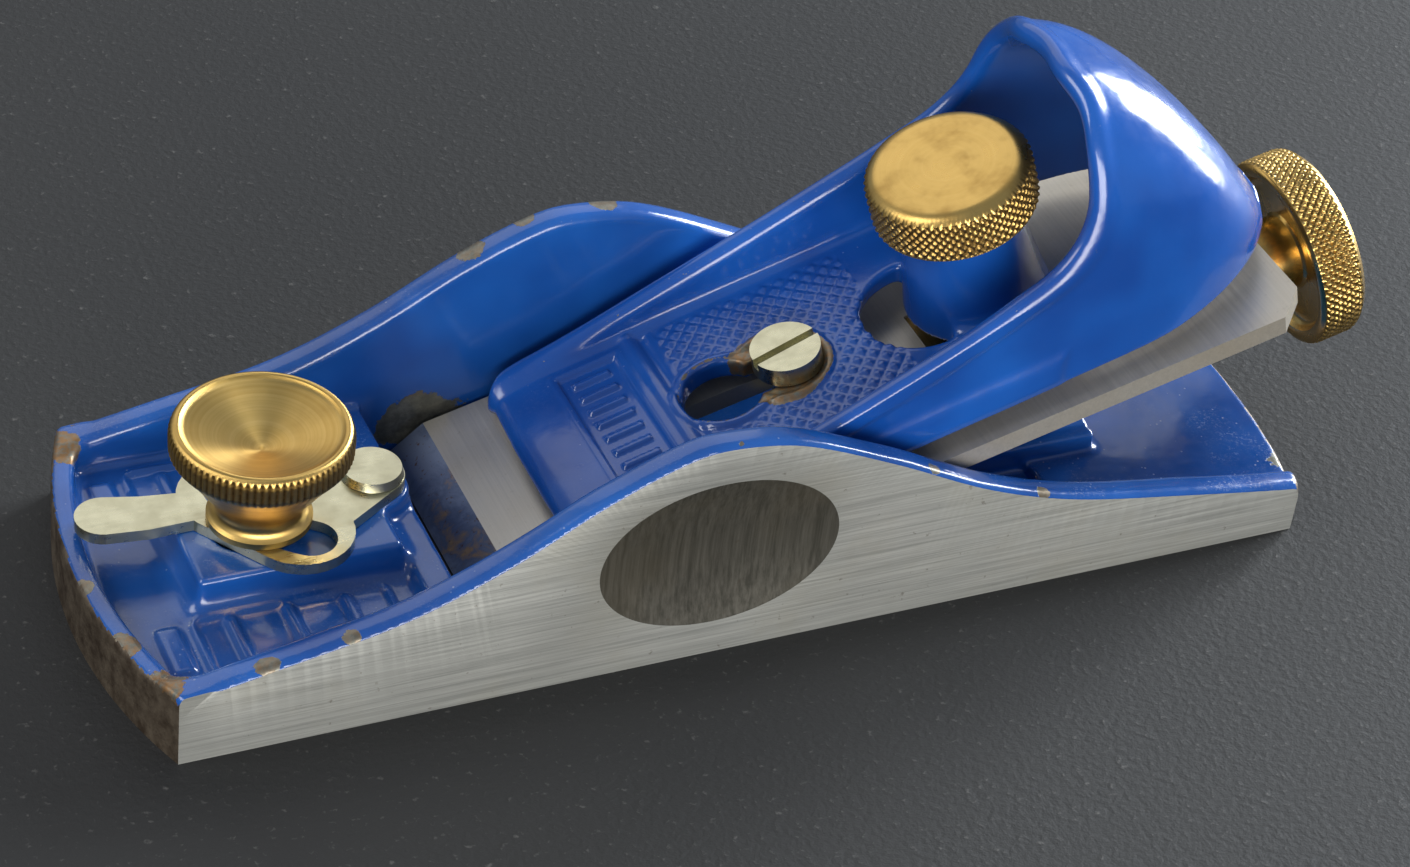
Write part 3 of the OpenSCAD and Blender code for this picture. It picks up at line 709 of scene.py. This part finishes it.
H = 0.42
V, Q = field_mesh("body", body_field, (-79.0, -26.6, -1.6), (79.0, 26.6, 32.6), H)
body = to_object("body_casting", V, Q)
for m in (M_BLUE, M_SIDE, M_SOLE, M_DIMPLE, M_RAW, M_STEEL):
    body.data.materials.append(m)
drop_islands(body)
plane_cut(body, [((0, W2, 0), (0, 1, 0), 1), ((0, -W2, 0), (0, -1, 0), 1), ((0, 0, 0.0), (0, 0, -1), 2)])
P = coords(body)
me = body.data
nf = len(me.polygons)
cen = np.empty(nf * 3); me.polygons.foreach_get("center", cen); cen = cen.reshape(-1, 3) / MM
nor = np.empty(nf * 3); me.polygons.foreach_get("normal", nor); nor = nor.reshape(-1, 3)
mi = np.empty(nf, dtype=np.int32); me.polygons.foreach_get("material_index", mi)
dm = dimple_d(*cen.T)
mi[(mi == 0) & (np.abs(dm) < 0.12) & (np.abs(cen[:, 1]) > 23.3)] = 3
endf = (toe_d(cen[:, 0], cen[:, 1]) > -0.55) & (np.abs(nor[:, 0]) > 0.45) & (cen[:, 0] < -60)
endf |= (heel_d(cen[:, 0], cen[:, 1]) > -0.55) & (np.abs(nor[:, 0]) > 0.45) & (cen[:, 0] > 60)
mi[(mi == 0) & endf & (cen[:, 2] < 8.9)] = 4
bedf = (np.abs((cen[:, 2] - (cut_under(cen[:, 0]) - 0.06)) * 0.963) < 0.16) & (nor[:, 2] > 0.9) & (cen[:, 0] > -29.5) & (cen[:, 0] < 13)
mi[(mi == 0) & bedf] = 5
me.polygons.foreach_set("material_index", mi)
sharp_by_angle(body, 46)
x, y, z = P.T
ay = np.abs(y)
wob = noise3(x, y, z, 21, 2.0)
bare = np.zeros(len(P))


def patch(cx, cy, cz, r, k=1.0):
    d = np.sqrt((x - cx) ** 2 + (y - cy) ** 2 + (z - cz) ** 2) + 0.35 * r * wob
    return np.clip(1 - d / r, 0, 1) * k


for c in ((-73.4, -22.6, 9.2, 4.2), (-73.6, 22.8, 9.2, 3.4), (-77.2, -3, 9.2, 1.7), (-75.8, -14, 9.1, 2.0),
          (-62.0, -24.6, 11.8, 1.8), (-52.5, -24.9, 13.7, 1.3), (-21.0, 24.0, 27.5, 2.6), (-4.0, 24.6, 31.2, 2.2),
          (20, -24.7, 21.5, 1.5), (52, 24.4, 11.0, 2.0), (76.5, -18, 6.6, 3.0), (36, -25, 14.6, 1.1),
          (-14, 24.9, 30.4, 1.4), (-6.5, -25.0, 31.4, 1.0)):
    bare = np.maximum(bare, np.clip(patch(*c) * 1.7, 0, 1))
# wear along the very crest of both cheeks and round the toe rim
crest = np.clip(1 - np.abs(z - curve(CHEEK_PTS, np.clip(x, -78, 78))) / 0.5, 0, 1) * (ay > 24.6)
bare = np.maximum(bare, 0.40 * crest)
rimw = np.clip(1 - np.abs(toe_d(x, y) + 0.2) / 0.5, 0, 1) * (z > 8.3) * (x < -60)
bare = np.maximum(bare, 0.50 * rimw)
inner = np.clip(1.25 - np.sqrt(((x + 27.5) / 6.4) ** 2 + ((z - 4.6 - 0.12 * (x + 27.5)) / 3.4) ** 2) + 0.22 * wob, 0, 1) * ((y > 20.5) & (y < 22.8))
bare = np.maximum(bare, np.clip(inner * 1.8, 0, 1))
set_attr(body, "bare", bare)
set_attr(body, "rust", np.clip(np.maximum(patch(-73.4, -22.6, 9, 9, 1.2), patch(-73.6, 22.8, 9, 8, 1.2)) + np.where(z > 8.2, 0.35, 0.0), 0, 1))
set_attr(body, "dust", np.where(x > 40, 1.0, np.where(x < -36, 0.55, 0.5)))
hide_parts("body")
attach(body, "plane_body")


# ------------------------------------------------------------------ lever cap
def floor_z(x):
    return 20.9 + (x - 11.3) * 0.32


def cap_under(x):
    return cut_top(x) + 0.42 + (x - CAP_X0) * 0.034


NOSE = [(-21.2, 7.4), (-20.5, 8.2), (-20.0, 9.6), (-18.5, 10.9), (-15, 12.48), (-12, 13.44), (80, 42.9)]
SN, CS = math.sin(BED), math.cos(BED)


def bed_uv(x, z, x0, z0):
    """Along the bed and square to it, from (x0, z0)."""
    return (x - x0) * CS + (z - z0) * SN, -(x - x0) * SN + (z - z0) * CS


def key_d(x, y, z):
    """Distance in the plane of the bed to the keyhole's outline."""
    u, v = bed_uv(x, z, 3.5, floor_z(3.5))
    big = np.sqrt(u ** 2 + y ** 2) - 5.0
    u2, v2 = bed_uv(x, z, 11.3, floor_z(11.3))
    L = (11.3 - 3.5) / CS
    cu = np.clip(u2, -L, 0)
    sl = np.sqrt((u2 - cu) ** 2 + y ** 2) - 2.9
    head = np.sqrt(u2 ** 2 + y ** 2) - 5.0
    return big, sl, head


def superarch(x, y, z, off):
    s = np.clip((x - ARCH_X) / (CAP_X1 - ARCH_X), 0, 1)
    h0 = HOOD_TOP - (cut_top(ARCH_X) + 0.42 + (ARCH_X - CAP_X0) * 0.034)
    w = np.maximum(19.4 * np.sqrt(np.maximum(1 - s ** 2.4, 0)), 2.4) - off
    h = np.maximum(h0 * (1 - s ** 1.5), 3.0) - off
    w = np.maximum(w, 0.6); h = np.maximum(h, 0.6)
    zz = np.maximum(z - cap_under(x), 0)
    ay = np.abs(y)
    a = ay / w; b = zz / h
    g = a ** 2.778 + b ** 2.632 - 1
    gy = 2.778 / w * np.maximum(a, 0.10) ** 1.778
    gz = 2.632 / h * np.maximum(b, 0.10) ** 1.632
    # how the section shrinks along x
    dh = np.where(s > 0, -h0 * 1.5 * s ** 0.5 / (CAP_X1 - ARCH_X), 0)
    dw = np.where(s > 0, -19.4 * 1.2 * s ** 1.4 / np.sqrt(np.maximum(1 - s ** 2.4, 0.02)) / (CAP_X1 - ARCH_X), 0)
    gx = 2.632 * b ** 2.632 * (-dh / h + 0.3 / h) + 2.778 * a ** 2.778 * (-dw / w)
    return np.clip(g, -0.9, 6) / np.maximum(np.sqrt(gx ** 2 + gy ** 2 + gz ** 2), 0.02)


def tri(t):
    return np.abs((t % 1.0) * 2 - 1)


def cap_field(x, y, z):
    ay = np.abs(y)
    side = ay - CAP_W / 2
    front = smax(-20.5 + 0.0024 * y ** 2 - x, side, 4.5)
    under = cap_under(x) - z
    # floor plate with chequering, panel, ridge and groove
    fz = curve(NOSE, np.clip(x, -21.2, 80))
    fu = (x - 11.3)
    c1, c2 = (fu * 1.05 + y) / 2.3, (fu * 1.05 - y) / 2.3
    cheq = 0.42 * (1 - np.maximum(tri(c1), tri(c2)))
    zone = np.clip((14.4 - ay) / 0.4, 0, 1) * np.clip((x - 0.2) / 0.4, 0, 1) * np.clip((24.6 - x) / 0.4, 0, 1)
    big, sl, head = key_d(x, y, z)
    kd = np.minimum(np.minimum(big, sl), head)
    zone = zone * np.clip((kd - 1.9) / 0.3, 0, 1)
    panel = np.clip((13.6 - ay) / 0.35, 0, 1) * np.clip((x + 12.6) / 0.35, 0, 1) * np.clip((-4.9 - x) / 0.35, 0, 1)
    ribs = np.clip((0.62 - np.abs(((y + 60) % 2.7) - 1.35)) / 0.25, 0, 1) * np.clip((12.4 - ay) / 0.3, 0, 1) \
        * np.clip((2.5 - np.abs(x + 8.75)) / 0.3, 0, 1)
    groove = np.exp(-((x + 1.1) / 0.55) ** 2) * np.clip((15 - ay) / 0.5, 0, 1)
    ridge = np.exp(-((x + 2.9) / 0.8) ** 2) * np.clip((16 - ay) / 0.5, 0, 1)
    frame_r = np.clip(1 - np.abs(np.maximum(ay - 14.2, np.abs(x + 8.75) - 4.45)) / 0.5, 0, 1)
    fz = fz - 0.12 + zone * (cheq - 0.16) - panel * 0.5 + panel * ribs * 0.45 - 0.42 * groove + 0.45 * ridge + 0.16 * frame_r
    fz = fz + 0.5 * np.clip(1 - np.abs(kd - 0.85) / 0.75, 0, 1) ** 0.5
    plate = smax((z - fz) * 0.93, np.maximum(under, (floor_z(x) - 3 - z) * 0.95), 0.4)
    plate = smax(plate, x - 38.5, 0.5)
    plate = smax(plate, front, 1.4)
    opening = disc(x, y, 30, 0, 7.6)
    plate = smax(plate, -opening, 0.9)
    # side walls that lean in as they rise and become the arch of the hood
    rz = curve(RIM_PTS, np.clip(x, -24, 44))
    lean = 41 - 0.009 * (z - 54) ** 2 + 0.28 * np.sin(y * 0.62 + 0.8) * np.clip((z - 50) / 6, 0, 1)
    t = np.clip((x - 16) / 25.0, 0, 1)
    t = t * t * (3 - 2 * t)
    outer = (1 - t) * side + t * superarch(x, y, z, 0.0)
    inner_ = (1 - t) * (ay - (CAP_W / 2 - CAP_WALL)) + t * superarch(x, y, z, CAP_WALL)
    keep = smin((z - rz) * 0.86, (lean - x) * 0.95, 5.0)
    wall = smax(smax(outer, -inner_, 0.8), keep, 1.5)
    wall = smax(wall, under, 0.3)
    wall = smax(wall, x - 74.3, 0.8)
    wall = smax(wall, front, 1.2)
    plate = smax(plate, outer + 0.3, 0.5)
    solid = smin(plate, wall, 2.0)
    # lip thickened along the edge
    lipd = np.sqrt(((outer + 0.95) / 1.2) ** 2 + ((keep + 1.1) / 1.3) ** 2) - 1
    solid = smin(solid, np.maximum(np.maximum(lipd, under), front), 0.8)
    # boss
    px, pz = x - THUMB[0], z - THUMB[2]
    t = px * AX_T[0] + pz * AX_T[2]
    rr = np.sqrt((px - t * AX_T[0]) ** 2 + y ** 2 + (pz - t * AX_T[2]) ** 2)
    bs = smax((rr - (7.2 + (-8.1 - t) * 2.2 / 14.4)) * 0.985, t + 8.1, 1.1)
    bs = np.maximum(bs, (floor_z(x) - 2.4 - z) * 0.95)
    solid = smin(solid, bs, 2.2)
    # holes
    solid = smax(solid, -np.minimum(big, sl), 0.6)
    u2, v2 = bed_uv(x, z, 11.3, HEAD_TOP)
    seat = np.maximum(np.minimum(head, np.maximum(np.maximum(u2, -8.4 - u2), ay - 4.9)), -(v2 + HEAD_H + 0.1))
    solid = smax(solid, -seat, 0.4)
    solid = np.maximum(solid, -np.maximum(rr - 2.62, t + 3))
    return solid + 0.02 * noise3(x, y, z, 5, 2.4) + 0.02


HC = 0.30
V, Q = field_mesh("lever_cap", cap_field, (-21.3, -19.9, 6.4), (75.3, 19.9, 63.0), HC)
V[:, 1] = np.clip(V[:, 1], -19.38, 19.38)
cap = to_object("lever_cap_casting", V, Q)
drop_islands(cap)
cap.data.materials.append(M_CAP)
P = coords(cap)
x, y, z = P.T
ay = np.abs(y)
wob = noise3(x, y, z, 31, 1.6)
u2, v2 = bed_uv(x, z, 11.3, floor_z(11.3))
rh = np.sqrt((u2 + 0.3) ** 2 + y ** 2)
ring = np.clip((7.2 - rh + 0.35 * wob) / 1.2, 0, 1) * (np.abs(v2) < 2.6)
big, sl, head = key_d(x, y, z)
ring = np.maximum(ring, 0.62 * np.clip(1 - np.abs(np.minimum(big, sl) - 0.55) / 0.55, 0, 1) * (np.abs(z - floor_z(x)) < 1.4) * (wob > -0.35))
bare = ring
# the crests of the side rims and the hood's lip have lost a little enamel
rz = curve(RIM_PTS, np.clip(x, -24, 44))
crest = np.clip(1 - np.abs(z - rz) / 0.45, 0, 1) * (ay > 16.5) * (x < 34)
bare = np.maximum(bare, crest * (0.33 + 0.10 * wob))
nose = np.clip(1 - (x + 20.6) / 1.2, 0, 1)
bare = np.maximum(bare, nose * 0.42)
lean = 41 - 0.009 * (z - 54) ** 2
bare = np.maximum(bare, np.clip(1 - np.abs(x - lean - 0.5) / 0.8, 0, 1) * (z > 40) * 0.36)
set_attr(cap, "bare", bare)
set_attr(cap, "rust", np.clip(ring * 0.9 + 0.1, 0, 1))
set_attr(cap, "dust", np.where(x > 45, 0.12, 0.42))
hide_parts("lever_cap")
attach(cap, "cap")


# ------------------------------------------------------------------ turned pieces
def refine(prof, step):
    """Profile rows (r, z, tag): long tagged runs get extra rows so that a knurl can be cut in them."""
    out = []
    for a, b in zip(prof, prof[1:]):
        out.append(a)
        d = math.hypot(b[0] - a[0], b[1] - a[1])
        st = step if (a[2] and b[2]) else 1.1
        k = int(d / st)
        for i in range(1, k + 1):
            t = i / (k + 1)
            out.append((a[0] + t * (b[0] - a[0]), a[1] + t * (b[1] - a[1]), a[2] if (a[2] and b[2]) else 0))
    out.append(prof[-1])
    return out


def lathe(name, prof, n, origin, axis, cut, material, closed=False):
    """Revolve (r, z, tag) rows. cut(theta, z, tag) is the depth taken off the radius."""
    prof = refine(prof, 0.17)
    ax = Vector(axis).normalized()
    M3 = np.array(ax.to_track_quat("Z", "Y").to_matrix())
    th = np.arange(n) / n * 2 * math.pi
    V, rows, low = [], [], []
    cnt = 0
    for r, zz, tag in prof:
        if r < 1e-6:
            V.append(np.array([[0, 0, zz]])); low.append(np.zeros(1)); rows.append((cnt, 1)); cnt += 1
            continue
        c = cut(th, zz, tag) if tag else np.zeros(n)
        rr = r - c
        V.append(np.stack([rr * np.cos(th), rr * np.sin(th), np.full(n, zz)], 1))
        low.append(c)
        rows.append((cnt, n)); cnt += n
    V = np.concatenate(V); low = np.concatenate(low)
    faces = []
    seq = list(range(len(rows)))
    pairs = list(zip(seq, seq[1:])) + ([(seq[-1], 0)] if closed else [])
    for a, b in pairs:
        (ia, na), (ib, nb) = rows[a], rows[b]
        for i in range(n):
            j = (i + 1) % n
            if na == 1:
                faces.append((ia, ib + j, ib + i))
            elif nb == 1:
                faces.append((ia + i, ia + j, ib))
            else:
                faces.append((ia + i, ia + j, ib + j, ib + i))
    W = (V @ M3.T) + np.array(origin)
    me = bpy.data.meshes.new(name)
    me.from_pydata((W * MM).tolist(), [], faces)
    me.update()
    ob = bpy.data.objects.new(name, me)
    bpy.context.scene.collection.objects.link(ob)
    for p in me.polygons:
        p.use_smooth = True
    bm = bmesh.new(); bm.from_mesh(me)
    bmesh.ops.recalc_face_normals(bm, faces=bm.faces[:])
    bm.to_mesh(me); bm.free()
    set_attr(ob, "low", np.clip(low / max(low.max(), 1e-6), 0, 1))
    me.materials.append(material)
    me.set_sharp_from_angle(angle=math.radians(38))
    return ob


def knurl(count, pitch, depth, z0, z1):
    def f(th, zz, tag):
        fade = np.clip(min(zz - z0, z1 - zz) / 0.25, 0, 1)
        a = count * th / (2 * math.pi)
        g = lambda t: np.maximum(0, 1 - np.abs((t % 1.0) - 0.5) / 0.30)
        return depth * fade * np.maximum(g(a + zz / pitch), g(a - zz / pitch))
    return f


def flutes(count, depth, z0, z1):
    def f(th, zz, tag):
        fade = np.clip(min(zz - z0, z1 - zz) / 0.4 + 0.25, 0, 1)
        a = (count * th / (2 * math.pi)) % 1.0
        return depth * fade * (0.5 + 0.5 * np.cos(a * 2 * math.pi)) ** 1.6
    return f


NS = 640
knob = lathe("front_knob_turned", [
    (0, 20.9, 0), (3.08, 20.9, 0), (3.08, FOOT_Z, 0), (5.95, FOOT_Z, 0), (6.25, 12.15, 0), (6.25, 12.95, 0), (5.95, 13.3, 0),
    (5.6, 13.75, 0), (5.5, 14.4, 0), (5.6, 15.1, 0), (6.0, 15.9, 0), (6.9, 17.2, 0), (8.2, 19.1, 0), (9.4, 20.8, 0),
    (10.1, 21.6, 0), (10.5, 22.1, 1), (10.76, 22.5, 1), (10.8, 24.5, 1), (10.68, 24.95, 1), (10.5, 25.3, 0), (10.25, 25.62, 0),
    (9.95, 25.77, 0), (9.7, 25.76, 0), (9.5, 25.62, 0), (9.3, 25.4, 0), (8.8, 25.2, 0), (6, 24.2, 0), (3, 23.12, 0), (1.0, 22.4, 0), (0.35, 22.24, 0), (0, 22.22, 0)],
    NS, (KNOB_X, 0, 0), (0, 0, 1), flutes(80, 0.30, 22.0, 25.2), M_KNOB)
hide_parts("front_knob"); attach(knob, "knob")
R0 = THUMB_R
thumb = lathe("thumb_wheel_turned", [
    (0, -3.02, 0), (2.6, -3.02, 0), (2.6, -7.55, 0), (6.3, -7.55, 0), (R0 - 0.9, -7.05, 0), (R0 - 0.3, -6.6, 1), (R0, -6.15, 1), (R0, -1.4, 1),
    (R0 - 0.25, -0.95, 1), (R0 - 0.75, -0.5, 0), (R0 - 1.4, -0.16, 0), (R0 - 2.1, -0.06, 0), (6, -0.03, 0), (3, -0.01, 0), (0.8, -0.005, 0), (0, 0, 0)],
    504, THUMB, AX_T, knurl(56, 1.22, 0.34, -6.6, -0.9), M_THUMB)
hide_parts("thumb_wheel"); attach(thumb, "cap_clamp")
R1 = WHEEL_R
rear = lathe("depth_wheel_turned", [
    (3.04, -5.45, 0), (4.6, -5.45, 0), (4.95, -5.1, 0), (4.95, 1.3, 0), (5.3, 1.6, 0), (9.8, 1.6, 0), (10.2, 1.35, 0), (10.7, 0.15, 0), (10.95, 0.02, 0),
    (R1 - 0.7, 0.02, 0), (R1 - 0.25, 0.25, 1), (R1, 0.7, 1), (R1, WHEEL_W - 1.3, 1), (R1 - 0.35, WHEEL_W - 0.8, 1), (R1 - 1.2, WHEEL_W - 0.05, 0), (6, WHEEL_W - 0.05, 0),
    (5.4, WHEEL_W - 0.6, 0), (3.04, WHEEL_W - 0.6, 0)],
    612, (WHEEL_X, 0, WHEEL_Z), AX_B, knurl(68, 1.22, 0.34, 0.3, WHEEL_W - 0.8), M_WHEEL, closed=True)
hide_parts("adjuster_wheel"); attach(rear, "depth_wheel")


# ------------------------------------------------------------------ pieces kept from the CAD
def finish_node(name, mat, width, segs=2, angle=32):
    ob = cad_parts[name]
    ob.data.materials.clear()
    ob.data.materials.append(mat)
    if width:
        b = ob.modifiers.new("edge", "BEVEL")
        b.width = width * MM
        b.segments = segs
        b.limit_method = "ANGLE"
        b.angle_limit = math.radians(angle)
        b.harden_normals = False
    return ob


finish_node("cutter", M_CUT, 0.06)
finish_node("mouth_plate", M_PLATE, 0.10)
finish_node("knob_stud", M_STEEL, 0.15)
finish_node("mouth_lever", M_NICKEL, 0.28, 3)
finish_node("lever_pivot_pin", M_NICKEL, 0.25, 3)
finish_node("lever_cap_screw", M_NICKEL, 0.22, 3)
finish_node("thumb_screw", M_STEEL, 0.12)
finish_node("adjuster_spindle", M_STEEL, 0.12)
finish_node("adjuster_collar", M_STEEL, 0.2)
finish_node("adjuster_slide", M_SLIDE, 0.15)
finish_node("wheel_pin", M_STEEL, 0.08)
finish_node("collar_pin", M_STEEL, 0.08)

# ------------------------------------------------------------------ stage and light
bpy.ops.mesh.primitive_plane_add(size=8, location=(0, 0, 0))
floor = bpy.context.object
floor.name = "floor"
fm = NT("floor_paper")
pv = fm.coord()
fn = fm.noise(pv, 5, 3)
ff = fm.noise(pv, 900, 3, 0.6)
fcol = fm.mix(fm.maprange(fn, 0.3, 0.7, 0, 1), lin(36, 36, 36), lin(43, 43, 42))
fcol = fm.mix(fm.maprange(ff, 0.62, 0.8, 0, 0.55), fcol, lin(112, 110, 106))
fm.link(fcol, fm.b.inputs["Base Color"])
fm.b.inputs["Roughness"].default_value = 0.72
fm.b.inputs["Specular IOR Level"].default_value = 0.35
fm.link(fm.bump(ff, 0.5, 0.0003), fm.b.inputs["Normal"])
floor.data.materials.append(fm.mat)

world = bpy.data.worlds.new("world")
bpy.context.scene.world = world
world.use_nodes = True
world.node_tree.nodes["Background"].inputs[0].default_value = (0.62, 0.72, 0.90, 1)
world.node_tree.nodes["Background"].inputs[1].default_value = 0.42


def area(name, loc, target, sx, sy, power, colour=(1, 1, 1)):
    l = bpy.data.lights.new(name, "AREA")
    l.shape = "RECTANGLE"
    l.size, l.size_y = sx, sy
    l.energy = power
    l.color = colour
    ob = bpy.data.objects.new(name, l)
    bpy.context.scene.collection.objects.link(ob)
    ob.location = loc
    d = Vector(target) - Vector(loc)
    ob.rotation_euler = d.to_track_quat("-Z", "Y").to_euler()
    return ob


area("window_a", (1.06, 0.50, 0.34), (0.06, 0, 0.04), 0.26, 0.66, 17.0, (0.90, 0.95, 1.0))
area("window_b", (1.15, 0.17, 0.34), (0.06, 0, 0.04), 0.26, 0.66, 17.0, (0.90, 0.95, 1.0))
area("overhead", (0.10, 0.86, 0.86), (0, 0, 0.02), 1.25, 0.85, 3.1, (1.0, 0.95, 0.86))
area("left_key", (-0.95, 0.10, 0.75), (0, 0, 0.02), 0.45, 0.6, 5.0, (1.0, 0.98, 0.94))
area("front_fill", (-0.25, -1.1, 0.30), (0, 0, 0.02), 1.2, 0.4, 15.0, (1.0, 0.98, 0.95))
scene = bpy.context.scene
scene.view_settings.view_transform = "Standard"
scene.view_settings.exposure = 0.0
